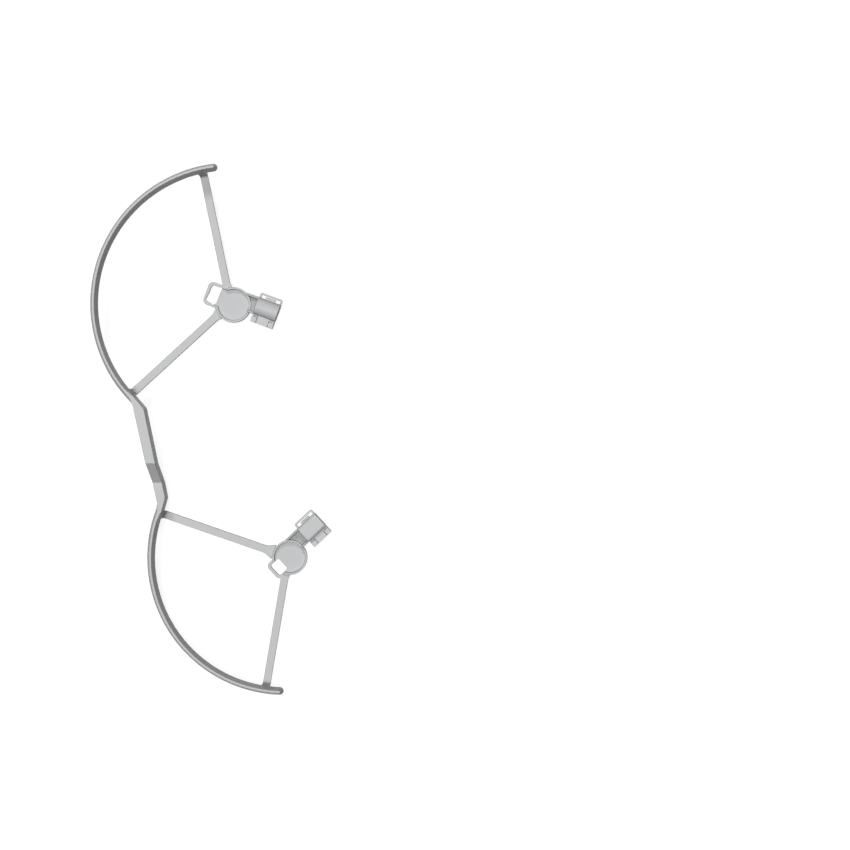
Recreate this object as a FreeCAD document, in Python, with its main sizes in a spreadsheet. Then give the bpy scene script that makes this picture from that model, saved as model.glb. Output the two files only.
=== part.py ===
import FreeCAD, Part
import math
import os
import sys

import Sketcher
from FreeCAD import Placement, Rotation, Vector

# Propeller guard for a small folding camera drone, left-hand side.
# One moulded frame carries a front and a rear rail round the two propellers.
# Each rail stands on two struts that spread from a cup under the motor, and a
# stepped bar joins the rails. Beside each cup an arm clip holds the drone's arm:
# a fixed lower shell, and a hinged buckle that closes over the arm.
# Frame: the origin is on the front motor's axis, on the front cup's floor, where
# the motor pod rests. +Y is the drone's forward direction, +X points at its body
# and +Z is up. Heights on the sheet are counted from the cups' underside.

doc = FreeCAD.newDocument("PropellerGuard")
sheet = doc.addObject("Spreadsheet::Sheet", "Sizes")

SIZES = [
    # Where the two motors stand: the rear one is behind, inboard and lower
    ("rear_motor_inboard", 30.7),
    ("rear_motor_back", 151.8),
    ("level_drop", 12.5),
    # The rails: round-topped, one section for both
    ("rail_width", 4.8),
    ("rail_depth", 6.4),
    ("rail_crown", 2.1),
    ("rail_foot", 0.9),
    ("rail_top", 23.4),
    ("front_rail_radius", 81.3),
    ("rear_rail_radius", 79.9),
    ("front_tip_angle", 97.4),
    ("front_bar_angle", 226.5),
    ("rear_bar_angle", 156.5),
    ("rear_tip_angle", 268.0),
    # The stepped bar between the rails
    ("bar_depth", 9.0),
    ("bar_wall", 1.5),
    ("bar_overlap_angle", 5.0),
    ("bar_front_inner_x", -50.4),
    ("bar_front_inner_y", -62.2),
    ("bar_rear_inner_x", -39.3),
    ("bar_rear_inner_y", -115.6),
    ("bar_front_corner", 3.0),
    ("bar_rear_corner", 5.0),
    ("bar_step_start", 94.9),
    ("bar_step_run", 11.6),
    # The struts: flat straps that turn up under the rail
    ("strut_width", 4.5),
    ("strut_thick", 3.0),
    ("strut_bend", 4.0),
    ("strut_root_radius", 8.0),
    ("strut_root_width", 9.0),
    ("strut_flare", 6.5),
    ("riser_inset", 0.3),
    ("front_upper_bearing", 101.7),
    ("front_upper_side", 1.7),
    ("front_lower_bearing", 222.5),
    ("front_lower_side", -1.95),
    ("rear_upper_bearing", 160.9),
    ("rear_upper_side", 0.1),
    ("rear_lower_bearing", 260.4),
    ("rear_lower_side", 1.3),
    # The cups under the motors
    ("cup_radius", 10.6),
    ("cup_wall", 1.2),
    ("cup_height", 4.6),
    ("floor_thick", 1.6),
    ("rear_cup_shift_x", 2.3),
    ("rear_cup_shift_y", -0.7),
    # The loops that let the landing legs through
    ("loop_wall", 1.9),
    ("loop_height", 3.0),
    ("loop_corner", 1.2),
    ("front_loop_near", 10.2),
    ("front_loop_far", 16.3),
    ("front_loop_left", 6.9),
    ("front_loop_right", 3.6),
    ("rear_loop_near", 5.6),
    ("rear_loop_far", 12.2),
    ("rear_loop_left", 4.3),
    ("rear_loop_right", 4.0),
    # The arm clips: u runs along the arm, v to its left, measured from the arm's axis
    ("front_arm_heading", -20.5),
    ("rear_arm_heading", 43.0),
    ("arm_side", 4.3),
    ("front_clip_start", 13.7),
    ("rear_clip_start", 16.0),
    ("clip_length", 13.8),
    ("arm_width", 7.9),
    ("arm_seat", 6.4),
    ("arm_height", 7.8),
    ("shell_wall", 1.4),
    ("shell_corner", 2.0),
    ("split_level", 10.4),
    ("split_gap", 0.2),
    ("front_crown_corner", 4.8),
    ("rear_crown_corner", 1.8),
    # Hinge: two ears on the frame, one knuckle on the buckle, one steel pin
    ("pin_radius", 0.8),
    ("pin_offset", 2.9),
    ("pin_inset", 0.3),
    ("knuckle_half", 1.7),
    ("ear_length", 3.2),
    ("hinge_side_gap", 0.2),
    ("ear_drop", 4.0),
    ("ear_fit", 0.02),
    ("knuckle_fit", 0.06),
    # Catch: the buckle's tongue drops into a loop on the frame
    ("tongue_width", 6.0),
    ("tongue_thick", 0.9),
    ("tongue_gap", 0.5),
    ("tongue_drop", 3.0),
    ("catch_gap", 0.55),
    ("catch_bar", 1.1),
    ("catch_height", 2.2),
    ("catch_web", 1.0),
]

for row, (alias, size) in enumerate(SIZES, start=1):
    sheet.set(f"A{row}", alias)
    sheet.set(f"B{row}", str(size))
    sheet.setAlias(f"B{row}", alias)
doc.recompute()


def value(expression):
    """Number that an expression on the sheet gives, in mm or degrees."""
    return float(sheet.evalExpression(expression))


def size(alias):
    """Expression for one named size."""
    return f"Sizes.{alias}"


# Derived sizes, each an expression on the sheet
HALF_RAIL = "Sizes.rail_width / 2"
REAR_X = "Sizes.rear_motor_inboard"
REAR_Y = "-Sizes.rear_motor_back"
FRONT_Z = "-Sizes.floor_thick"
REAR_Z = "(-Sizes.floor_thick - Sizes.level_drop)"
SHELL_HALF = "(Sizes.arm_width / 2 + Sizes.shell_wall)"
SHELL_BOTTOM = "(Sizes.arm_seat - Sizes.shell_wall)"
SHELL_TOP = "(Sizes.split_level - Sizes.split_gap / 2)"
BUCKLE_BOTTOM = "(Sizes.split_level + Sizes.split_gap / 2)"
BUCKLE_TOP = "(Sizes.arm_seat + Sizes.arm_height + Sizes.shell_wall)"
PIN_V = f"(-{SHELL_HALF} - Sizes.pin_offset)"


class Spot:
    """A local frame: its origin and its heading about Z, as expressions."""

    def __init__(self, x, y, z, heading="0"):
        self.x = x
        self.y = y
        self.z = z
        self.heading = heading

    def moved(self, ahead, left="0", up="0"):
        """The same heading at a point so far ahead, to the left and up."""
        x = f"{self.x} + ({ahead}) * cos({self.heading}) - ({left}) * sin({self.heading})"
        y = f"{self.y} + ({ahead}) * sin({self.heading}) + ({left}) * cos({self.heading})"
        return Spot(x, y, f"{self.z} + {up}", self.heading)

    def turned(self, heading):
        """The same point with another heading."""
        return Spot(self.x, self.y, self.z, heading)


FRONT_MOTOR = Spot("0", "0", FRONT_Z)
REAR_MOTOR = Spot(REAR_X, REAR_Y, REAR_Z)


def new_body(label):
    body = doc.addObject("PartDesign::Body", label)
    body.Label = label
    return body


def new_sketch(body, role, name, spot):
    """Sketch on a level plane (XY) or an upright one (XZ), turned to the spot's heading."""
    sketch = body.newObject("Sketcher::SketchObject", name)
    plane = [item for item in body.Origin.OriginFeatures if item.Role == role][0]
    sketch.AttachmentSupport = [(plane, "")]
    sketch.MapMode = "FlatFace"
    if role == "XY_Plane":
        base = (spot.x, spot.y, spot.z)
        axis = Vector(0, 0, 1)
    else:
        base = (spot.x, spot.z, f"-({spot.y})")
        axis = Vector(0, 1, 0)
    # A quarter turn to start with keeps the axis while the expression sets the angle
    sketch.AttachmentOffset = Placement(Vector(0, 0, 0), Rotation(axis, 90))
    for letter, expression in zip("xyz", base):
        sketch.setExpression(f"AttachmentOffset.Base.{letter}", expression)
    if value(spot.heading) == 0:
        sketch.AttachmentOffset = Placement(Vector(0, 0, 0), Rotation())
    else:
        sketch.setExpression("AttachmentOffset.Rotation.Angle", spot.heading)
    return sketch


def place_point(sketch, x, y):
    """Construction point held at (x, y) by two dimensions."""
    point = sketch.addGeometry(Part.Point(Vector(value(x), value(y), 0)), True)
    for kind, expression in (("DistanceX", x), ("DistanceY", y)):
        index = sketch.addConstraint(Sketcher.Constraint(kind, -1, 1, point, 1, value(expression)))
        sketch.setExpression(f"Constraints[{index}]", expression)
    return point


def outline(sketch, corners):
    """Closed outline of straight sides. A corner is (x, y) or (x, y, radius)."""
    count = len(corners)
    spots = [Vector(value(corner[0]), value(corner[1]), 0) for corner in corners]
    radii = [corner[2] if len(corner) > 2 else None for corner in corners]
    points = [place_point(sketch, corner[0], corner[1]) for corner in corners]
    starts, ends, centres = [], [], []
    for here in range(count):
        back = (spots[here - 1] - spots[here]).normalize()
        ahead = (spots[(here + 1) % count] - spots[here]).normalize()
        if radii[here] is None:
            starts.append(spots[here])
            ends.append(spots[here])
            centres.append(None)
            continue
        half = back.getAngle(ahead) / 2
        reach = value(radii[here]) / math.tan(half)
        middle = (back + ahead).normalize()
        ends.append(spots[here] + back * reach)
        starts.append(spots[here] + ahead * reach)
        centres.append(spots[here] + middle * (value(radii[here]) / math.sin(half)))
    sides = []
    for here in range(count):
        side = Part.LineSegment(starts[here], ends[(here + 1) % count])
        sides.append(sketch.addGeometry(side, False))
    for here in range(count):
        before, after, point = sides[here - 1], sides[here], points[here]
        if radii[here] is None:
            sketch.addConstraint(Sketcher.Constraint("Coincident", before, 2, point, 1))
            sketch.addConstraint(Sketcher.Constraint("Coincident", after, 1, point, 1))
            continue
        round_corner(sketch, before, after, point, ends[here], starts[here], centres[here], radii[here])
    return sides


def round_corner(sketch, before, after, point, first, last, centre, radius):
    """Arc tangent to two sides whose lines still meet at the corner's point."""
    turn = (first - centre).cross(last - centre).z
    angles = [math.atan2(end.y - centre.y, end.x - centre.x) for end in (first, last)]
    entry, leave = (1, 2) if turn > 0 else (2, 1)
    if turn < 0:
        angles.reverse()
    circle = Part.Circle(centre, Vector(0, 0, 1), value(radius))
    arc = sketch.addGeometry(Part.ArcOfCircle(circle, angles[0], angles[1]), False)
    sketch.addConstraint(Sketcher.Constraint("Tangent", before, 2, arc, entry))
    sketch.addConstraint(Sketcher.Constraint("Tangent", arc, leave, after, 1))
    sketch.addConstraint(Sketcher.Constraint("PointOnObject", point, 1, before))
    sketch.addConstraint(Sketcher.Constraint("PointOnObject", point, 1, after))
    index = sketch.addConstraint(Sketcher.Constraint("Radius", arc, value(radius)))
    sketch.setExpression(f"Constraints[{index}]", radius)


def circle_at(sketch, x, y, radius):
    """Circle of a given radius about a placed point."""
    point = place_point(sketch, x, y)
    centre = Vector(value(x), value(y), 0)
    ring = sketch.addGeometry(Part.Circle(centre, Vector(0, 0, 1), value(radius)), False)
    sketch.addConstraint(Sketcher.Constraint("Coincident", ring, 3, point, 1))
    index = sketch.addConstraint(Sketcher.Constraint("Radius", ring, value(radius)))
    sketch.setExpression(f"Constraints[{index}]", radius)


def pad(body, name, sketch, length, midplane=False):
    """Solid raised from a sketch."""
    feature = body.newObject("PartDesign::Pad", name)
    feature.Profile = sketch
    feature.Midplane = midplane
    feature.setExpression("Length", length)
    doc.recompute()
    return feature


def pocket(body, name, sketch, length=None, both_ways=False):
    """Cut from a sketch, against its normal, or both ways through everything."""
    before = body.Shape.Volume
    feature = body.newObject("PartDesign::Pocket", name)
    feature.Profile = sketch
    if length is None:
        feature.Type = "ThroughAll"
        feature.Midplane = both_ways
    else:
        feature.Midplane = both_ways
        feature.setExpression("Length", length)
    doc.recompute()
    if before - body.Shape.Volume < 1e-6:
        raise RuntimeError(f"{name} cuts nothing")
    return feature


def turn_about(body, name, sketch, angle=None):
    """Solid turned about the sketch's upright axis: a full turn, or an arc to both sides."""
    feature = body.newObject("PartDesign::Revolution", name)
    feature.Profile = sketch
    feature.ReferenceAxis = (sketch, ["V_Axis"])
    if angle is None:
        feature.Angle = 360
    else:
        feature.Midplane = True
        feature.setExpression("Angle", angle)
    doc.recompute()
    return feature


def bar(body):
    """Stepped bar: the plan outline, cut to its side profile and cored out below."""
    def on_front(radius, angle):
        return (f"({radius}) * cos({angle})", f"({radius}) * sin({angle})")

    def on_rear(radius, angle):
        x, y = on_front(radius, angle)
        return (f"{REAR_X} + {x}", f"{REAR_Y} + {y}")

    front_end = "Sizes.front_bar_angle - Sizes.bar_overlap_angle"
    rear_end = "Sizes.rear_bar_angle + Sizes.bar_overlap_angle"
    front_outer = "Sizes.front_rail_radius + Sizes.rail_width / 2"
    front_inner = "Sizes.front_rail_radius - Sizes.rail_width / 2"
    rear_outer = "Sizes.rear_rail_radius + Sizes.rail_width / 2"
    rear_inner = "Sizes.rear_rail_radius - Sizes.rail_width / 2"
    corners = [
        on_front("Sizes.front_rail_radius", front_end),
        on_front(front_outer, size("front_bar_angle")),
        on_rear(rear_outer, size("rear_bar_angle")),
        on_rear("Sizes.rear_rail_radius", rear_end),
        on_rear(rear_inner, "Sizes.rear_bar_angle + Sizes.bar_overlap_angle / 2"),
        (size("bar_rear_inner_x"), size("bar_rear_inner_y"), size("bar_rear_corner")),
        (size("bar_front_inner_x"), size("bar_front_inner_y"), size("bar_front_corner")),
        on_front(front_inner, "Sizes.front_bar_angle - Sizes.bar_overlap_angle / 2"),
    ]
    top = f"(Sizes.rail_top + {FRONT_Z})"
    dropped = f"({top} - Sizes.level_drop)"
    low = f"{dropped} - Sizes.bar_depth"
    plan = new_sketch(body, "XY_Plane", "bar_plan", Spot("0", "0", low))
    outline(plan, corners)
    pad(body, "bar_block", plan, "Sizes.level_drop + Sizes.bar_depth")

    start = "-Sizes.bar_step_start"
    end = "-Sizes.bar_step_start - Sizes.bar_step_run"
    above = new_sketch(body, "YZ_Plane", "bar_above", Spot("0", "0", "0"))
    outline(above, [
        (start, top),
        (end, dropped),
        (f"{REAR_Y} - 20", dropped),
        (f"{REAR_Y} - 20", f"{top} + 10"),
        (start, f"{top} + 10"),
    ])
    pocket(body, "bar_top_step", above, both_ways=True)
    below = new_sketch(body, "YZ_Plane", "bar_below", Spot("0", "0", "0"))
    outline(below, [
        (start, f"{top} - Sizes.bar_depth"),
        ("0", f"{top} - Sizes.bar_depth"),
        ("0", f"{dropped} - Sizes.bar_depth - 10"),
        (end, f"{dropped} - Sizes.bar_depth - 10"),
        (end, f"{dropped} - Sizes.bar_depth"),
    ])
    pocket(body, "bar_under_step", below, both_ways=True)


def rail(body, side, motor, radius, first, last):
    """Round-topped rail on an arc round a motor, with a domed free end."""
    middle = f"({first} + {last}) / 2"
    top = "Sizes.rail_top"
    foot = "Sizes.rail_top - Sizes.rail_depth"
    section = new_sketch(body, "XZ_Plane", f"{side}_rail_section", motor.turned(middle))
    outline(section, [
        (f"{radius} - {HALF_RAIL}", foot, size("rail_foot")),
        (f"{radius} + {HALF_RAIL}", foot, size("rail_foot")),
        (f"{radius} + {HALF_RAIL}", top, size("rail_crown")),
        (f"{radius} - {HALF_RAIL}", top, size("rail_crown")),
    ])
    turn_about(body, f"{side}_rail", section, f"abs({last} - {first})")


def rail_tip(body, side, motor, radius, angle):
    """Domed end of a rail: half its section turned about its own middle."""
    foot = "Sizes.rail_top - Sizes.rail_depth"
    centre = motor.turned(angle).moved(radius)
    section = new_sketch(body, "XZ_Plane", f"{side}_tip_section", centre)
    outline(section, [
        ("0", foot),
        (HALF_RAIL, foot, size("rail_foot")),
        (HALF_RAIL, "Sizes.rail_top", size("rail_crown")),
        ("0", "Sizes.rail_top"),
    ])
    turn_about(body, f"{side}_rail_tip", section)


def strut(body, name, motor, radius, bearing, side):
    """Flat strap from a cup, flared at its root, that turns up under the rail."""
    start = motor.turned(bearing).moved("0", side)
    riser_out = f"{radius} + {HALF_RAIL} - Sizes.riser_inset"
    riser_in = f"{radius} - {HALF_RAIL} + Sizes.riser_inset"
    riser_top = "Sizes.rail_top - Sizes.rail_depth / 2"
    profile = new_sketch(body, "XZ_Plane", f"{name}_profile", start)
    outline(profile, [
        (size("strut_root_radius"), "0"),
        (riser_out, "0", size("strut_bend")),
        (riser_out, riser_top),
        (riser_in, riser_top),
        (riser_in, size("strut_thick"), "Sizes.strut_bend / 3"),
        (size("strut_root_radius"), size("strut_thick")),
    ])
    pad(body, name, profile, size("strut_width"), midplane=True)
    root = size("strut_root_radius")
    straight = "Sizes.cup_radius + Sizes.strut_flare / 3"
    flare_end = "Sizes.cup_radius + Sizes.strut_flare"
    half = "Sizes.strut_width / 2"
    wide = "Sizes.strut_root_width / 2"
    plan = new_sketch(body, "XY_Plane", f"{name}_flare_plan", start)
    outline(plan, [
        (root, f"-{wide}"),
        (straight, f"-{half}", size("strut_flare")),
        (flare_end, f"-{half}"),
        (flare_end, half),
        (straight, half, size("strut_flare")),
        (root, wide),
    ])
    pad(body, f"{name}_flare", plan, size("strut_thick"))


def cup(body, side, hub, loop):
    """Shallow cup under a motor, with the loop for the leg behind it."""
    far, left, right = loop[1:]
    floor = new_sketch(body, "XY_Plane", f"{side}_floor_plan", hub)
    circle_at(floor, "0", "0", size("cup_radius"))
    pad(body, f"{side}_floor", floor, size("floor_thick"))
    wall = new_sketch(body, "XY_Plane", f"{side}_cup_plan", hub)
    circle_at(wall, "0", "0", size("cup_radius"))
    circle_at(wall, "0", "0", "Sizes.cup_radius - Sizes.cup_wall")
    pad(body, f"{side}_cup_wall", wall, size("cup_height"))
    border = new_sketch(body, "XY_Plane", f"{side}_loop_plan", hub)
    outer = "Sizes.loop_corner + Sizes.loop_wall"
    outline(border, [
        ("0", f"{left} + Sizes.loop_wall"),
        (f"-{far} - Sizes.loop_wall", f"{left} + Sizes.loop_wall", outer),
        (f"-{far} - Sizes.loop_wall", f"-{right} - Sizes.loop_wall", outer),
        ("0", f"-{right} - Sizes.loop_wall"),
    ])
    pad(body, f"{side}_loop", border, size("loop_height"))


def window(body, side, hub, loop):
    """Through hole for the leg, cut after everything round it."""
    near, far, left, right = loop
    hole = new_sketch(body, "XY_Plane", f"{side}_window_plan", hub)
    corner = size("loop_corner")
    outline(hole, [
        (f"-{near}", left, corner),
        (f"-{far}", left, corner),
        (f"-{far}", f"-{right}", corner),
        (f"-{near}", f"-{right}", corner),
    ])
    pocket(body, f"{side}_window", hole, both_ways=True)


def cup_hollow(body, side, hub):
    """Clears the cup above its floor, and lets the arm out of it towards the clip."""
    hollow = new_sketch(body, "XY_Plane", f"{side}_hollow_plan", hub.moved("0", "0", "Sizes.floor_thick"))
    circle_at(hollow, "0", "0", "Sizes.cup_radius - Sizes.cup_wall")
    cut = pocket(body, f"{side}_cup_hollow", hollow, size("cup_radius"))
    cut.Reversed = True
    doc.recompute()


def neck(body, side, hub, clip_start):
    """Ramp and side walls between the cup and the arm clip."""
    middle = hub.moved("0", size("arm_side"))
    ramp_foot = "Sizes.cup_radius - 2"
    half = SHELL_HALF
    ramp = new_sketch(body, "XZ_Plane", f"{side}_ramp_profile", middle)
    outline(ramp, [
        ("Sizes.cup_radius / 2", "0"),
        (ramp_foot, "0"),
        (f"{clip_start}", SHELL_BOTTOM),
        (f"{clip_start} + Sizes.shell_wall", SHELL_BOTTOM),
        (f"{clip_start} + Sizes.shell_wall", size("arm_seat")),
        (f"{clip_start} - 1", size("arm_seat")),
        (f"{ramp_foot} - 1", size("floor_thick")),
        ("Sizes.cup_radius / 2", size("floor_thick")),
    ])
    pad(body, f"{side}_ramp", ramp, f"2 * {half}", midplane=True)
    cheeks = (("left", f"{half} - Sizes.shell_wall / 2"), ("right", f"Sizes.shell_wall / 2 - {half}"))
    for hand, across in cheeks:
        cheek = new_sketch(body, "XZ_Plane", f"{side}_{hand}_cheek_profile", middle.moved("0", across))
        outline(cheek, [
            ("Sizes.cup_radius / 2", "0"),
            (ramp_foot, "0"),
            (f"{clip_start}", SHELL_BOTTOM),
            (f"{clip_start} + Sizes.shell_wall", SHELL_BOTTOM),
            (f"{clip_start} + Sizes.shell_wall", SHELL_TOP),
            (f"{clip_start}", SHELL_TOP),
            ("Sizes.cup_radius / 2", size("cup_height")),
        ])
        pad(body, f"{side}_{hand}_cheek", cheek, size("shell_wall"), midplane=True)


def across_clip(clip, along):
    """Upright plane across the arm, looking along it: x is v and y is the height."""
    spot = clip.moved(along)
    return spot.turned(f"{clip.heading} + 90")


def lower_shell(body, side, clip):
    """Fixed half of the clip, with the hinge's ears and the catch loop."""
    half = SHELL_HALF
    inner = "Sizes.arm_width / 2"
    inner_corner = "Sizes.shell_corner - Sizes.shell_wall / 2"
    section = new_sketch(body, "XZ_Plane", f"{side}_shell_section", across_clip(clip, "0"))
    outline(section, [
        (f"-{half}", SHELL_TOP),
        (f"-{half}", SHELL_BOTTOM, size("shell_corner")),
        (half, SHELL_BOTTOM, size("shell_corner")),
        (half, SHELL_TOP),
        (inner, SHELL_TOP),
        (inner, size("arm_seat"), inner_corner),
        (f"-{inner}", size("arm_seat"), inner_corner),
        (f"-{inner}", SHELL_TOP),
    ])
    pad(body, f"{side}_lower_shell", section, size("clip_length"))

    outer = f"{PIN_V} - Sizes.knuckle_half"
    slot = f"{PIN_V} + Sizes.knuckle_half"
    ear_top = "Sizes.split_level + Sizes.knuckle_half"
    ear_foot = "Sizes.split_level - Sizes.ear_drop"
    for end, along in (("near", "0"), ("far", "Sizes.clip_length - Sizes.ear_length")):
        ear = new_sketch(body, "XZ_Plane", f"{side}_{end}_ear_section", across_clip(clip, along))
        outline(ear, [
            (f"-{half} + Sizes.shell_wall / 2", SHELL_TOP),
            (slot, SHELL_TOP),
            (slot, ear_top),
            (outer, ear_top),
            (outer, ear_foot, size("shell_corner")),
            (f"-{half} + Sizes.shell_wall / 2", ear_foot),
        ])
        pad(body, f"{side}_{end}_ear", ear, size("ear_length"))

    bar_in = f"{half} + Sizes.tongue_gap + Sizes.tongue_thick + Sizes.catch_gap"
    bar_out = f"{bar_in} + Sizes.catch_bar"
    catch_low = f"{SHELL_TOP} - Sizes.catch_height"
    catch = new_sketch(body, "XY_Plane", f"{side}_catch_plan", clip.moved("0", "0", catch_low))
    outline(catch, [
        ("0", f"{half} - Sizes.shell_wall / 2"),
        ("Sizes.catch_web", f"{half} - Sizes.shell_wall / 2"),
        ("Sizes.catch_web", bar_in),
        ("Sizes.clip_length - Sizes.catch_web", bar_in),
        ("Sizes.clip_length - Sizes.catch_web", f"{half} - Sizes.shell_wall / 2"),
        ("Sizes.clip_length", f"{half} - Sizes.shell_wall / 2"),
        ("Sizes.clip_length", bar_out, "Sizes.catch_bar"),
        ("0", bar_out, "Sizes.catch_bar"),
    ])
    pad(body, f"{side}_catch_loop", catch, size("catch_height"))

    bore = new_sketch(body, "XZ_Plane", f"{side}_ear_bore_plan", across_clip(clip, "0"))
    circle_at(bore, PIN_V, size("split_level"), "Sizes.pin_radius + Sizes.ear_fit")
    pocket(body, f"{side}_ear_bore", bore, "2 * Sizes.clip_length", both_ways=True)


def buckle(side, clip, crown):
    """Hinged upper half of the clip, with its knuckle and its catch tongue."""
    body = new_body(f"{side}_buckle")
    half = SHELL_HALF
    inner = "Sizes.arm_width / 2"
    roof = "Sizes.arm_seat + Sizes.arm_height"
    section = new_sketch(body, "XZ_Plane", f"{side}_buckle_section", across_clip(clip, "0"))
    outline(section, [
        (f"-{half}", BUCKLE_BOTTOM),
        (f"-{inner}", BUCKLE_BOTTOM),
        (f"-{inner}", roof, f"{crown} - Sizes.shell_wall"),
        (inner, roof, f"{crown} - Sizes.shell_wall"),
        (inner, BUCKLE_BOTTOM),
        (half, BUCKLE_BOTTOM),
        (half, BUCKLE_TOP, crown),
        (f"-{half}", BUCKLE_TOP, crown),
    ])
    pad(body, f"{side}_buckle_shell", section, size("clip_length"))

    low = "Sizes.split_level - Sizes.knuckle_half"
    top = "Sizes.split_level + Sizes.knuckle_half"
    slot = f"{PIN_V} + Sizes.knuckle_half"
    start = "Sizes.ear_length + Sizes.hinge_side_gap"
    knuckle = new_sketch(body, "XZ_Plane", f"{side}_knuckle_section", across_clip(clip, start))
    outline(knuckle, [
        (f"-{half} + Sizes.shell_wall / 2", BUCKLE_BOTTOM),
        (f"-{half} + Sizes.shell_wall / 2", top),
        (f"{PIN_V} - Sizes.knuckle_half", top),
        (f"{PIN_V} - Sizes.knuckle_half", low, "Sizes.knuckle_half * 0.9"),
        (slot, low, "Sizes.knuckle_half * 0.9"),
        (slot, BUCKLE_BOTTOM),
    ])
    pad(body, f"{side}_knuckle", knuckle, f"Sizes.clip_length - 2 * ({start})")

    tongue_in = f"{half} + Sizes.tongue_gap"
    tongue_out = f"{tongue_in} + Sizes.tongue_thick"
    tip = "Sizes.split_level - Sizes.tongue_drop"
    begin = "(Sizes.clip_length - Sizes.tongue_width) / 2"
    tongue = new_sketch(body, "XZ_Plane", f"{side}_tongue_section", across_clip(clip, begin))
    outline(tongue, [
        (f"{half} - Sizes.shell_wall / 2", BUCKLE_BOTTOM),
        (tongue_in, BUCKLE_BOTTOM),
        (tongue_in, tip),
        (tongue_out, tip),
        (tongue_out, top, "Sizes.tongue_thick"),
        (f"{half} - Sizes.shell_wall / 2", top),
    ])
    pad(body, f"{side}_tongue", tongue, size("tongue_width"))

    bore = new_sketch(body, "XZ_Plane", f"{side}_knuckle_bore_plan", across_clip(clip, "0"))
    circle_at(bore, PIN_V, size("split_level"), "Sizes.pin_radius + Sizes.knuckle_fit")
    pocket(body, f"{side}_knuckle_bore", bore, "2 * Sizes.clip_length", both_ways=True)
    return body


def hinge_pin(side, clip):
    """Steel pin through the ears and the knuckle."""
    body = new_body(f"{side}_hinge_pin")
    section = new_sketch(body, "XZ_Plane", f"{side}_pin_plan", across_clip(clip, size("pin_inset")))
    circle_at(section, PIN_V, size("split_level"), size("pin_radius"))
    pad(body, f"{side}_pin_rod", section, "Sizes.clip_length - 2 * Sizes.pin_inset")
    return body


def guard_frame():
    body = new_body("guard_frame")
    bar(body)
    rails = (
        ("front", FRONT_MOTOR, size("front_rail_radius"), size("front_tip_angle"), size("front_bar_angle")),
        ("rear", REAR_MOTOR, size("rear_rail_radius"), size("rear_tip_angle"), size("rear_bar_angle")),
    )
    for side, motor, radius, tip_angle, bar_angle in rails:
        rail(body, side, motor, radius, tip_angle, bar_angle)
        rail_tip(body, side, motor, radius, tip_angle)
        for hand in ("upper", "lower"):
            name = f"{side}_{hand}"
            strut(body, f"{name}_strut", motor, radius, size(f"{name}_bearing"), size(f"{name}_side"))
    for side, hub, clip, loop in UNITS:
        cup(body, side, hub, loop)
        neck(body, side, hub, size(f"{side}_clip_start"))
        lower_shell(body, side, clip)
        cup_hollow(body, side, hub)
        window(body, side, hub, loop)
    return body


def unit(side, motor, shift_x, shift_y):
    """The cup's frame, the clip's frame and the leg loop's sizes at one motor."""
    hub = Spot(f"{motor.x} + {shift_x}", f"{motor.y} + {shift_y}", motor.z, size(f"{side}_arm_heading"))
    clip = hub.moved(size(f"{side}_clip_start"), size("arm_side"))
    loop = tuple(size(f"{side}_loop_{edge}") for edge in ("near", "far", "left", "right"))
    return side, hub, clip, loop


UNITS = (
    unit("front", FRONT_MOTOR, "0", "0"),
    unit("rear", REAR_MOTOR, size("rear_cup_shift_x"), size("rear_cup_shift_y")),
)

pieces = [guard_frame()]
for side, hub, clip, loop in UNITS:
    pieces.append(buckle(side, clip, size(f"{side}_crown_corner")))
    pieces.append(hinge_pin(side, clip))
doc.recompute()

faults = [item.Name for item in doc.Objects if "Invalid" in item.State or "Error" in item.State]
for piece in pieces:
    shape = piece.Shape
    if shape.isNull() or not shape.isValid() or len(shape.Solids) != 1:
        faults.append(piece.Label)
    print(piece.Label, "solids", len(shape.Solids), "volume", round(shape.Volume, 1), "mm3")
if faults:
    print("Not written, because these failed:", faults)
    sys.exit(1)

os.makedirs("parts", exist_ok=True)
for piece in pieces:
    piece.Shape.exportStep(f"parts/{piece.Label}.step")
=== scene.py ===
# %% [markdown]
# # A clip-on propeller guard, dressed for its picture
#
# The guard is one thin moulded frame that clips under two arms of a small folding drone. Two long
# rails follow the circles of the propellers, a sloping bar joins them, and four thin struts carry
# them from two shallow cups that hug the motors. Each clip closes with a small hinged buckle.
#
# The solids come from the construction model and stay exactly where they are. This lesson gives
# them their finish: a satin moulded plastic, bright steel pins, a soft studio light and a pale floor.

import math

import bmesh
import bpy
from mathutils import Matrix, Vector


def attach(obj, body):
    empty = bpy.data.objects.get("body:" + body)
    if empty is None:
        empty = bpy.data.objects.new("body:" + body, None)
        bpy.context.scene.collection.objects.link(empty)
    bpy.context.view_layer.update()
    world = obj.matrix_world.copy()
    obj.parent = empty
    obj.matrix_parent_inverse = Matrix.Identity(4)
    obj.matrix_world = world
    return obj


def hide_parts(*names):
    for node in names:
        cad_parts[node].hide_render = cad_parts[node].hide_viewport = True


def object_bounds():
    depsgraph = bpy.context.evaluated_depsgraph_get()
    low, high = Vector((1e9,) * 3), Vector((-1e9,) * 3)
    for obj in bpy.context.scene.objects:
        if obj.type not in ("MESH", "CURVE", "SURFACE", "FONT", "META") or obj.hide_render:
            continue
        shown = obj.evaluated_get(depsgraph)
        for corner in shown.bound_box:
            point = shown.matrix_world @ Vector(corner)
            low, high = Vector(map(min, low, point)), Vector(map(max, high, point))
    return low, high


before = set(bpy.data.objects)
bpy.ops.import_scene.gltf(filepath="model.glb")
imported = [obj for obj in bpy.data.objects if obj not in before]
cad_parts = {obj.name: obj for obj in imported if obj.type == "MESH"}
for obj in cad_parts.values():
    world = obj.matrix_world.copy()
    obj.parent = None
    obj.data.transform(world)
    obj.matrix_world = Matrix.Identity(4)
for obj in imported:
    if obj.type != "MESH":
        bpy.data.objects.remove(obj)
solid_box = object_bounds()
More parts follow.
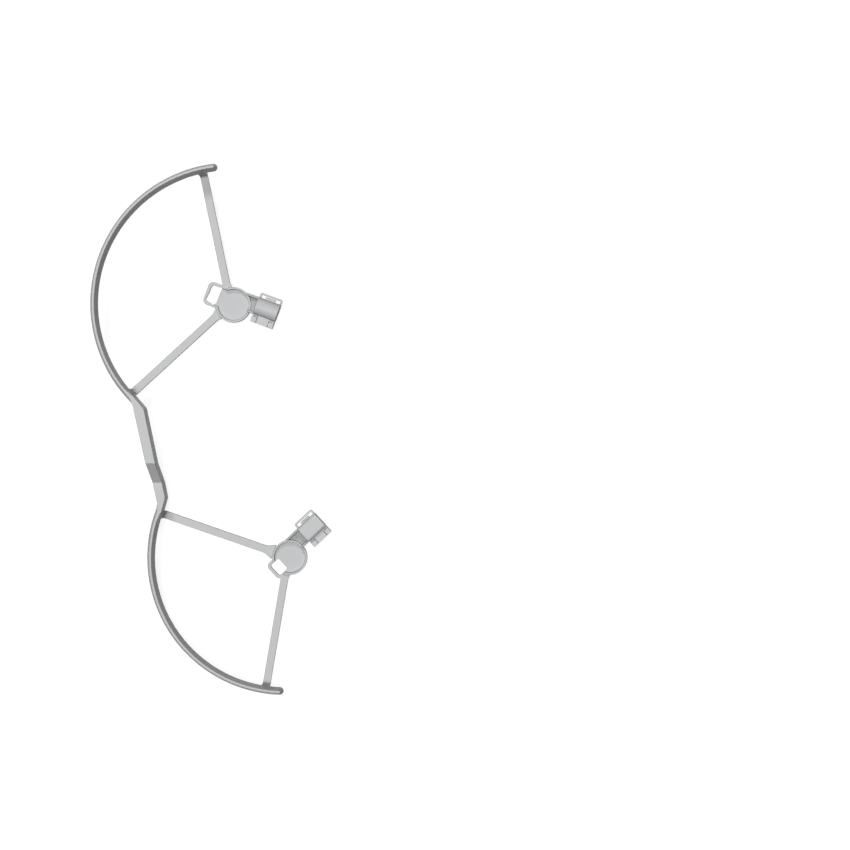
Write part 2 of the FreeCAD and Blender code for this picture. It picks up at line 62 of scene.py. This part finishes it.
print("pieces:", ", ".join(sorted(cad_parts)))
print("solid box, mm:", [[round(c * 1000, 1) for c in corner] for corner in solid_box])

# %% [markdown]
# ## The camera
#
# The picture was taken from straight above with a long lens, so the two cups look like circles and
# the walls of the rails hardly show. The heights of the rails and cups, read from how much larger
# near things look, put the lens about 1.2 m over the table. The camera could be aimed with a
# constraint, but a plain location with no rotation already looks straight down, with +Y up the
# picture.

# %% Look straight down with a long lens
MM = 0.001
lens = bpy.data.cameras.new("long_lens")
lens.lens = 85.0
lens.sensor_width = 36.0
camera = bpy.data.objects.new("camera_above", lens)
camera.location = (115.08 * MM, -72.16 * MM, 1207.4 * MM)
bpy.context.scene.collection.objects.link(camera)
bpy.context.scene.camera = camera
print("camera height over the front motor seat, mm:", round(camera.location.z / MM, 1))

# %% [markdown]
# ## The light
#
# Flat tops are pale, the sloping side of the bar is darker, upright walls are darker still, and a
# thin bright line runs along the crown of each rail, pushed towards the top of the picture. A wide
# lamp overhead gives most of the light, a small one leaning towards the top of the picture makes
# the line on the rails, and a nearly dark world stands for a room that is dim near the horizon.

# %% Helper: a square soft lamp aimed at the guard
middle = (solid_box[0] + solid_box[1]) / 2


def soft_lamp(name, off_zenith, bearing, distance, width, watts):
    """A square area lamp, leaning off_zenith degrees from straight up towards a compass bearing
    counted from +X towards +Y."""
    lamp_data = bpy.data.lights.new(name, "AREA")
    lamp_data.shape = "SQUARE"
    lamp_data.size = width
    lamp_data.energy = watts
    lamp = bpy.data.objects.new(name, lamp_data)
    lean, turn = math.radians(off_zenith), math.radians(bearing)
    away = (math.sin(lean) * math.cos(turn), math.sin(lean) * math.sin(turn), math.cos(lean))
    lamp.location = [m + distance * a for m, a in zip(middle, away)]
    lamp.rotation_mode = "QUATERNION"
    lamp.rotation_quaternion = (lamp.location - middle).to_track_quat("Z", "Y")
    lamp.visible_camera = False
    bpy.context.scene.collection.objects.link(lamp)
    print(name, "at", [round(c, 2) for c in lamp.location])
    return lamp


# %% Set up the studio
soft_lamp("lamp_upper_left", off_zenith=38, bearing=100, distance=1.6, width=0.25, watts=6.8)
soft_lamp("lamp_overhead", off_zenith=2, bearing=270, distance=1.7, width=0.7, watts=19.4)

world = bpy.data.worlds.new("dim_room")
bpy.context.scene.world = world
world.use_nodes = True
world.node_tree.nodes["Background"].inputs["Color"].default_value = (0.92, 0.95, 1.0, 1.0)
world.node_tree.nodes["Background"].inputs["Strength"].default_value = 0.01

bpy.context.scene.view_settings.view_transform = "Standard"

# %% [markdown]
# ## Node helpers
#
# Every material below is built from nodes. Wiring them by hand takes many near-equal lines, so two
# small helpers do it: one adds a node and fills in its inputs, and one joins an output to an input.
# Two more add a socket to a node group and start a material.

# %% Helpers: nodes, links, group sockets, materials
def add_node(tree, kind, inputs=None, **settings):
    """Adds one node, sets its own settings, and fills unlinked inputs by name or number."""
    node = tree.nodes.new(kind)
    for key, setting in settings.items():
        setattr(node, key, setting)
    for key, number in (inputs or {}).items():
        node.inputs[key].default_value = number
    return node


def link(tree, source, output, target, name):
    """Joins an output of one node to an input of another."""
    tree.links.new(source.outputs[output], target.inputs[name])


def add_socket(group, name, side, kind, start=None):
    """Adds an input or output to a node group, with a start value for an input."""
    socket = group.interface.new_socket(name, in_out=side, socket_type="NodeSocket" + kind)
    if start is not None:
        socket.default_value = start


def new_material(name, rough, metal=0.0):
    """A material with one Principled shader wired to its output; returns material, tree, shader."""
    material = bpy.data.materials.new(name)
    material.use_nodes = True
    shader = material.node_tree.nodes["Principled BSDF"]
    shader.inputs["Roughness"].default_value = rough
    shader.inputs["Metallic"].default_value = metal
    return material, material.node_tree, shader


# %% [markdown]
# ## The floor
#
# The guard lies on a plain white sheet. The camera sees the sheet as white with the guard's soft
# shadow, while the light that the sheet throws back up is kept low, because the undersides and the
# upright walls are dark in the picture. Light Path tells the two kinds of ray apart.

# %% Lay the white sheet
floor_z = solid_box[0].z - 0.0001
half = 4.0
floor_mesh = bpy.data.meshes.new("white_sheet")
floor_mesh.from_pydata(
    [(-half, -half, floor_z), (half, -half, floor_z), (half, half, floor_z), (-half, half, floor_z)],
    [],
    [(0, 1, 2, 3)],
)
floor = bpy.data.objects.new("white_sheet", floor_mesh)
bpy.context.scene.collection.objects.link(floor)

paper = bpy.data.materials.new("white_paper")
paper.use_nodes = True
tree = paper.node_tree
tree.nodes.remove(tree.nodes["Principled BSDF"])
paths = add_node(tree, "ShaderNodeLightPath")
seen = add_node(tree, "ShaderNodeMath", operation="MAXIMUM")
link(tree, paths, "Is Camera Ray", seen, 0)
link(tree, paths, "Is Glossy Ray", seen, 1)
seen_through = add_node(tree, "ShaderNodeMath", operation="MAXIMUM")
link(tree, seen, 0, seen_through, 0)
link(tree, paths, "Is Transmission Ray", seen_through, 1)

dull = add_node(tree, "ShaderNodeBsdfDiffuse", {"Color": (0.04, 0.04, 0.04, 1.0)})
white = add_node(tree, "ShaderNodeBsdfDiffuse", {"Color": (0.3, 0.3, 0.3, 1.0)})
lift = add_node(tree, "ShaderNodeEmission", {"Color": (1.0, 1.0, 1.0, 1.0), "Strength": 0.84})
bright = add_node(tree, "ShaderNodeAddShader")
link(tree, white, "BSDF", bright, 0)
link(tree, lift, "Emission", bright, 1)
choice = add_node(tree, "ShaderNodeMixShader")
link(tree, seen_through, 0, choice, "Fac")
link(tree, dull, "BSDF", choice, 1)
link(tree, bright, "Shader", choice, 2)
link(tree, choice, "Shader", tree.nodes["Material Output"], "Surface")
floor_mesh.materials.append(paper)
print("floor height, mm:", round(floor_z / MM, 2))

# %% [markdown]
# ## The moulded skin
#
# Moulded parts of this kind come out of a tool with a fine spark-eroded texture: an even satin
# grain a tenth of a millimetre across, and a very slow drift in shade where the plastic flowed and
# cooled. The frame and the buckles come from such tools, so both effects live in one node group
# with its own named inputs. The group puts out a height for the bump, a shade for the colour and
# a roughness.

# %% Build the group for the moulded skin
def moulded_skin_group():
    """Grain and flow shade of satin moulded plastic, in object coordinates given in metres."""
    group = bpy.data.node_groups.new("moulded_skin", "ShaderNodeTree")
    add_socket(group, "Grain Size", "INPUT", "Float", 0.15)
    add_socket(group, "Shade Drift", "INPUT", "Float", 0.03)
    add_socket(group, "Gloss Level", "INPUT", "Float", 0.4)
    add_socket(group, "Tint", "INPUT", "Color", (0.6, 0.6, 0.6, 1.0))
    add_socket(group, "Height", "OUTPUT", "Float")
    add_socket(group, "Shade", "OUTPUT", "Color")
    add_socket(group, "Roughness", "OUTPUT", "Float")
    given = add_node(group, "NodeGroupInput")
    result = add_node(group, "NodeGroupOutput")
    place = add_node(group, "ShaderNodeTexCoord")

    cells_per_metre = add_node(group, "ShaderNodeMath", {0: 1000.0}, operation="DIVIDE")
    link(group, given, "Grain Size", cells_per_metre, 1)
    grain = add_node(group, "ShaderNodeTexNoise", {"Detail": 2.0, "Roughness": 0.55})
    link(group, place, "Object", grain, "Vector")
    link(group, cells_per_metre, 0, grain, "Scale")
    link(group, grain, "Fac", result, "Height")

    drift = add_node(group, "ShaderNodeTexNoise", {"Scale": 34.0, "Detail": 3.0, "Roughness": 0.5})
    link(group, place, "Object", drift, "Vector")
    centred = add_node(group, "ShaderNodeMath", {1: 0.5}, operation="SUBTRACT")
    link(group, drift, "Fac", centred, 0)
    swing = add_node(group, "ShaderNodeMath", {2: 1.0}, operation="MULTIPLY_ADD")
    link(group, centred, 0, swing, 0)
    link(group, given, "Shade Drift", swing, 1)
    shaded = add_node(group, "ShaderNodeVectorMath", operation="SCALE")
    link(group, given, "Tint", shaded, 0)
    link(group, swing, 0, shaded, "Scale")
    link(group, shaded, "Vector", result, "Shade")

    rough = add_node(group, "ShaderNodeMath", {1: 0.12}, operation="MULTIPLY_ADD")
    link(group, centred, 0, rough, 0)
    link(group, given, "Gloss Level", rough, 2)
    link(group, rough, 0, result, "Roughness")
    return group


moulded_skin = moulded_skin_group()
print("moulded skin inputs:", [i.name for i in moulded_skin.interface.items_tree if i.in_out == "INPUT"])

# %% [markdown]
# ## Rounded edges and painted shade
#
# Nothing moulded has razor edges. The Bevel node rounds them in the shading, with no more faces.
# On a satin part the rounding tilts away from the lamps, so in the picture a thin dark line runs
# along every edge. The angle between the rounded and the true normal tells how near an edge is,
# and a second group turns it into a factor that darkens the colour there: painted shade along
# every edge. Steep walls face away from the lamps and look darker than the tops, so the same
# factor paints that shade into their colour as well.

# %% Build the group for rounded edges and painted shade
def rounded_edge_and_painted_shade_group():
    """A rounded normal, and a painted shade factor that darkens the colour towards every edge and on steep
    walls.
    """
    group = bpy.data.node_groups.new("rounded_edge_and_painted_shade", "ShaderNodeTree")
    add_socket(group, "Radius", "INPUT", "Float", 0.0003)
    add_socket(group, "Darkest Painted Edge", "INPUT", "Float", 0.5)
    add_socket(group, "Painted Wall Shade", "INPUT", "Float", 1.0)
    add_socket(group, "Normal", "OUTPUT", "Vector")
    add_socket(group, "Painted Shade", "OUTPUT", "Float")
    given = add_node(group, "NodeGroupInput")
    result = add_node(group, "NodeGroupOutput")
    rounded = add_node(group, "ShaderNodeBevel", samples=8)
    link(group, given, "Radius", rounded, "Radius")
    link(group, rounded, "Normal", result, "Normal")
    surface = add_node(group, "ShaderNodeNewGeometry")
    agreement = add_node(group, "ShaderNodeVectorMath", operation="DOT_PRODUCT")
    link(group, rounded, "Normal", agreement, 0)
    link(group, surface, "Normal", agreement, 1)
    # Painted shade: the colour darkens towards every edge.
    painted_edge_shade = add_node(group, "ShaderNodeMapRange", {"From Min": 0.8, "From Max": 0.99, "To Max": 1.0})
    link(group, agreement, "Value", painted_edge_shade, "Value")
    link(group, given, "Darkest Painted Edge", painted_edge_shade, "To Min")
    # Painted shade: steep walls get a darker colour, read from the object-space normal.
    place = add_node(group, "ShaderNodeTexCoord")
    facing = add_node(group, "ShaderNodeSeparateXYZ")
    link(group, place, "Normal", facing, 0)
    walls = add_node(group, "ShaderNodeMapRange", {"From Min": 0.3, "From Max": 0.6, "To Max": 1.0})
    link(group, facing, "Z", walls, "Value")
    link(group, given, "Painted Wall Shade", walls, "To Min")
    both = add_node(group, "ShaderNodeMath", operation="MULTIPLY")
    link(group, painted_edge_shade, "Result", both, 0)
    link(group, walls, "Result", both, 1)
    link(group, both, 0, result, "Painted Shade")
    return group


rounded_edge_and_painted_shade = rounded_edge_and_painted_shade_group()
print("rounded edge outputs:", [i.name for i in rounded_edge_and_painted_shade.interface.items_tree if i.in_out == "OUTPUT"])

# %% [markdown]
# ## The two plastics
#
# Frame and buckles are the same pale silver grey. They could share one material, but the buckles
# are small separate mouldings with a slightly closer grain, so each gets its own values. Their
# shine is low, because the walls show little of the white sheet.

# %% Silver grey plastic for the frame and the buckles
def moulded_plastic(name, tint, grain_mm, gloss_level, edge_mm):
    """Satin moulded plastic with soft edges, and painted shade along the edges and on steep walls."""
    material, tree, shader = new_material(name, gloss_level)
    skin = add_node(tree, "ShaderNodeGroup", node_tree=moulded_skin)
    skin.inputs["Grain Size"].default_value = grain_mm
    skin.inputs["Gloss Level"].default_value = gloss_level
    skin.inputs["Tint"].default_value = (*tint, 1.0)
    soft_edge_and_painted_shade = add_node(tree, "ShaderNodeGroup", node_tree=rounded_edge_and_painted_shade)
    soft_edge_and_painted_shade.inputs["Radius"].default_value = edge_mm * MM
    # Painted shade: the colour darkens to 0.1 at the edges and to 0.75 on steep walls.
    soft_edge_and_painted_shade.inputs["Darkest Painted Edge"].default_value = 0.1
    soft_edge_and_painted_shade.inputs["Painted Wall Shade"].default_value = 0.75
    # Painted shade: the plastic's tint is multiplied by the edge and wall shade factor.
    tint_with_painted_shade = add_node(tree, "ShaderNodeVectorMath", operation="SCALE")
    link(tree, skin, "Shade", tint_with_painted_shade, 0)
    link(tree, soft_edge_and_painted_shade, "Painted Shade", tint_with_painted_shade, "Scale")
    bump = add_node(tree, "ShaderNodeBump", {"Strength": 0.12, "Distance": 0.02 * MM})
    link(tree, skin, "Height", bump, "Height")
    link(tree, soft_edge_and_painted_shade, "Normal", bump, "Normal")
    link(tree, tint_with_painted_shade, "Vector", shader, "Base Color")
    link(tree, skin, "Roughness", shader, "Roughness")
    link(tree, bump, "Normal", shader, "Normal")
    shader.inputs["IOR"].default_value = 1.5
    shader.inputs["Specular IOR Level"].default_value = 0.12
    return material


frame_plastic = moulded_plastic("silver_frame_plastic", (0.60, 0.605, 0.612), 0.16, 0.34, 0.42)
buckle_plastic = moulded_plastic("silver_buckle_plastic", (0.60, 0.605, 0.612), 0.13, 0.32, 0.35)
print("plastics:", frame_plastic.name, buckle_plastic.name)

# %% [markdown]
# ## The steel of the hinge pins
#
# The pins are short lengths of drawn steel wire. Drawing leaves fine lines along the wire. The
# lines could be modelled, but at this size a fine noise in the roughness and the colour reads
# as drawn wire from any side.

# %% Drawn steel
pin_steel, steel_tree, steel_shader = new_material("drawn_pin_steel", 0.25, metal=1.0)
place = add_node(steel_tree, "ShaderNodeTexCoord")
lines = add_node(steel_tree, "ShaderNodeTexNoise", {"Scale": 9000.0, "Detail": 2.0})
link(steel_tree, place, "Object", lines, "Vector")
gloss = add_node(steel_tree, "ShaderNodeMapRange", {"To Min": 0.2, "To Max": 0.34})
link(steel_tree, lines, "Fac", gloss, "Value")
link(steel_tree, gloss, "Result", steel_shader, "Roughness")
tone = add_node(
    steel_tree,
    "ShaderNodeMix",
    {6: (0.56, 0.56, 0.57, 1.0), 7: (0.68, 0.68, 0.69, 1.0)},
    data_type="RGBA",
)
link(steel_tree, lines, "Fac", tone, 0)
link(steel_tree, tone, 2, steel_shader, "Base Color")
print("steel ready:", pin_steel.name)

# %% [markdown]
# ## Crisper rails and windows
#
# The solids give the rails a round top, but in the picture a narrow crest catches the light and
# steep flanks fall away on both sides of it, and the bar leans in a little on its inner side. The
# front window is also a little wider, and its floor runs into the cup with no rim between. A copy
# of the frame stands in for the solid, and material is only taken off it: one long cutter follows
# the whole edge of the rails, round both tips and along the bar, and short ones trim the window.
# Four separate cutters would leave seams at the tips, so one path does it all.

# %% Helper: a closed cutter through a row of sections
def lofted_cutter(name, sections):
    """A closed mesh through sections with the same number of points, in mm."""
    shape = bmesh.new()
    rings = [[shape.verts.new([c * MM for c in point]) for point in section] for section in sections]
    for ring, following in zip(rings, rings[1:]):
        for i in range(len(ring)):
            j = (i + 1) % len(ring)
            shape.faces.new((ring[i], ring[j], following[j], following[i]))
    shape.faces.new(rings[0])
    shape.faces.new(rings[-1])
    bmesh.ops.recalc_face_normals(shape, faces=shape.faces)
    mesh = bpy.data.meshes.new(name)
    shape.to_mesh(mesh)
    shape.free()
    cutter = bpy.data.objects.new(name, mesh)
    bpy.context.scene.collection.objects.link(cutter)
    return cutter


def upright_cutter(name, spot, corners, low, high):
    """An upright cutter over corners given as (ahead, left) of a spot (x, y, heading), in mm."""
    x, y, heading = spot
    c, s = math.cos(math.radians(heading)), math.sin(math.radians(heading))
    plan = [(x + u * c - v * s, y + u * s + v * c) for u, v in corners]
    return lofted_cutter(name, [[(px, py, z) for px, py in plan] for z in (low, high)])


# %% Follow the edge of the rails and the bar
HALF_RAIL, HALF_CREST = 2.6, 0.7
LEAN = HALF_RAIL - HALF_CREST
BAR_LEAN = 0.9
RAIL_DEPTH, BAR_DEPTH = 6.4, 9.0
FRONT = {"x": 0.0, "y": 0.0, "radius": 81.3, "top": 21.8}
REAR = {"x": 30.7, "y": -151.8, "radius": 79.9, "top": 9.3}
STEP_START, STEP_END = -94.9, -106.5
BAR_FRONT, BAR_REAR = (-50.4, -62.2), (-39.3, -115.6)
BAR_NORMAL = 11.7


def flank(foot, normal_angle, lean, top, depth):
    """Section of the cutter: everything outside the leaning flank that starts at foot."""
    n = (math.cos(math.radians(normal_angle)), math.sin(math.radians(normal_angle)))
    low = top - depth - 0.2
    return [
        (foot[0] + n[0] * away, foot[1] + n[1] * away, z)
        for away, z in ((0.0, low), (-lean, top), (-lean, top + 1.0), (6.0, top + 1.0), (6.0, low))
    ]


def along_rail(ring, first, last, outer, leans):
    """Sections along one side of a rail; leans maps an angle to the lean there."""
    count = max(2, round(abs(last - first) / 2.0))
    side = 1.0 if outer else -1.0
    sections = []
    for step in range(count + 1):
        angle = first + (last - first) * step / count
        reach = ring["radius"] + side * HALF_RAIL
        foot = (
            ring["x"] + reach * math.cos(math.radians(angle)),
            ring["y"] + reach * math.sin(math.radians(angle)),
        )
        normal = angle if outer else angle + 180.0
        sections.append(flank(foot, normal, leans(angle), ring["top"], RAIL_DEPTH))
    return sections


def round_tip(ring, angle, first_normal):
    """Sections round the end of a rail, turning clockwise by half a turn."""
    centre = (
        ring["x"] + ring["radius"] * math.cos(math.radians(angle)),
        ring["y"] + ring["radius"] * math.sin(math.radians(angle)),
    )
    sections = []
    for step in range(1, 12):
        normal = first_normal - 15.0 * step
        foot = (
            centre[0] + HALF_RAIL * math.cos(math.radians(normal)),
            centre[1] + HALF_RAIL * math.sin(math.radians(normal)),
        )
        sections.append(flank(foot, normal, LEAN, ring["top"], RAIL_DEPTH))
    return sections


def fade(start, end, low, high):
    """A lean that goes from low at angle start to high at angle end."""
    return lambda angle: low + (high - low) * min(max((angle - start) / (end - start), 0.0), 1.0)


def bar_point(y):
    """Point of the bar's straight inner edge at a given y."""
    share = (y - BAR_FRONT[1]) / (BAR_REAR[1] - BAR_FRONT[1])
    return (BAR_FRONT[0] + share * (BAR_REAR[0] - BAR_FRONT[0]), y)


bar_sections = [
    flank(BAR_FRONT, 26.2, BAR_LEAN, FRONT["top"], BAR_DEPTH),
    flank(bar_point(STEP_START), BAR_NORMAL, BAR_LEAN, FRONT["top"], BAR_DEPTH),
    flank(bar_point(STEP_END), BAR_NORMAL, BAR_LEAN, REAR["top"], BAR_DEPTH),
    flank(BAR_REAR, -1.9, BAR_LEAN, REAR["top"], BAR_DEPTH),
]
edge_sections = (
    along_rail(FRONT, 226.4, 97.4, True, fade(226.4, 223.5, 0.1, LEAN))
    + round_tip(FRONT, 97.4, 97.4)
    + along_rail(FRONT, 97.4, 223.8, False, fade(219.0, 223.8, LEAN, BAR_LEAN))
    + bar_sections
    + along_rail(REAR, 159.2, 268.0, False, fade(159.2, 164.0, BAR_LEAN, LEAN))
    + round_tip(REAR, 268.0, 88.0)
    + along_rail(REAR, 268.0, 156.6, True, fade(159.5, 156.6, LEAN, 0.1))
)
print("edge cutter sections:", len(edge_sections))

# %% Trim the copy
FRONT_HUB = (0.0, 0.0, -20.5)
window = [(-9.8, 7.2), (-11.4, -4.4), (-16.9, -2.8), (-15.8, 6.9)]
floor_run = [(-6.0, 7.0), (-9.9, 7.0), (-11.5, -4.2), (-8.2, -4.2)]
cutters = [
    lofted_cutter("edge_cutter", edge_sections),
    upright_cutter("window_cutter", FRONT_HUB, window, -3.0, 8.0),
    upright_cutter("floor_cutter", FRONT_HUB, floor_run, 0.02, 8.0),
]

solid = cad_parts["guard_frame"]
shape = bmesh.new()
shape.from_mesh(solid.data)
bmesh.ops.remove_doubles(shape, verts=shape.verts, dist=0.001 * MM)
trimmed_mesh = bpy.data.meshes.new("trimmed_frame")
shape.to_mesh(trimmed_mesh)
shape.free()
trimmed = bpy.data.objects.new("trimmed_frame", trimmed_mesh)
bpy.context.scene.collection.objects.link(trimmed)
for cutter in cutters:
    cut = trimmed.modifiers.new(cutter.name, "BOOLEAN")
    cut.operation = "DIFFERENCE"
    cut.solver = "EXACT"
    cut.object = cutter
ready = trimmed.evaluated_get(bpy.context.evaluated_depsgraph_get())
cut_mesh = ready.to_mesh()
finished_mesh = bpy.data.meshes.new("trimmed_guard_frame")
finished_mesh.from_pydata(
    [point.co for point in cut_mesh.vertices],
    [],
    [list(face.vertices) for face in cut_mesh.polygons],
)
ready.to_mesh_clear()
trimmed.modifiers.clear()
trimmed.data = finished_mesh
for cutter in cutters:
    bpy.data.meshes.remove(cutter.data)
finished_mesh.shade_smooth()
finished_mesh.set_sharp_from_angle(angle=math.radians(24.0))
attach(trimmed, "frame")
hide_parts("guard_frame")
print("trimmed frame:", len(finished_mesh.vertices), "points,", len(finished_mesh.polygons), "faces")

# %% Dress the solids
trimmed.data.materials.clear()
trimmed.data.materials.append(frame_plastic)
FINISHES = {
    "guard_frame": frame_plastic,
    "front_buckle": buckle_plastic,
    "rear_buckle": buckle_plastic,
    "front_hinge_pin": pin_steel,
    "rear_hinge_pin": pin_steel,
}
for piece, finish in FINISHES.items():
    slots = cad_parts[piece].material_slots
    for slot in slots:
        slot.material = finish
    print(piece, "has", len(slots), "slot(s) of", finish.name)
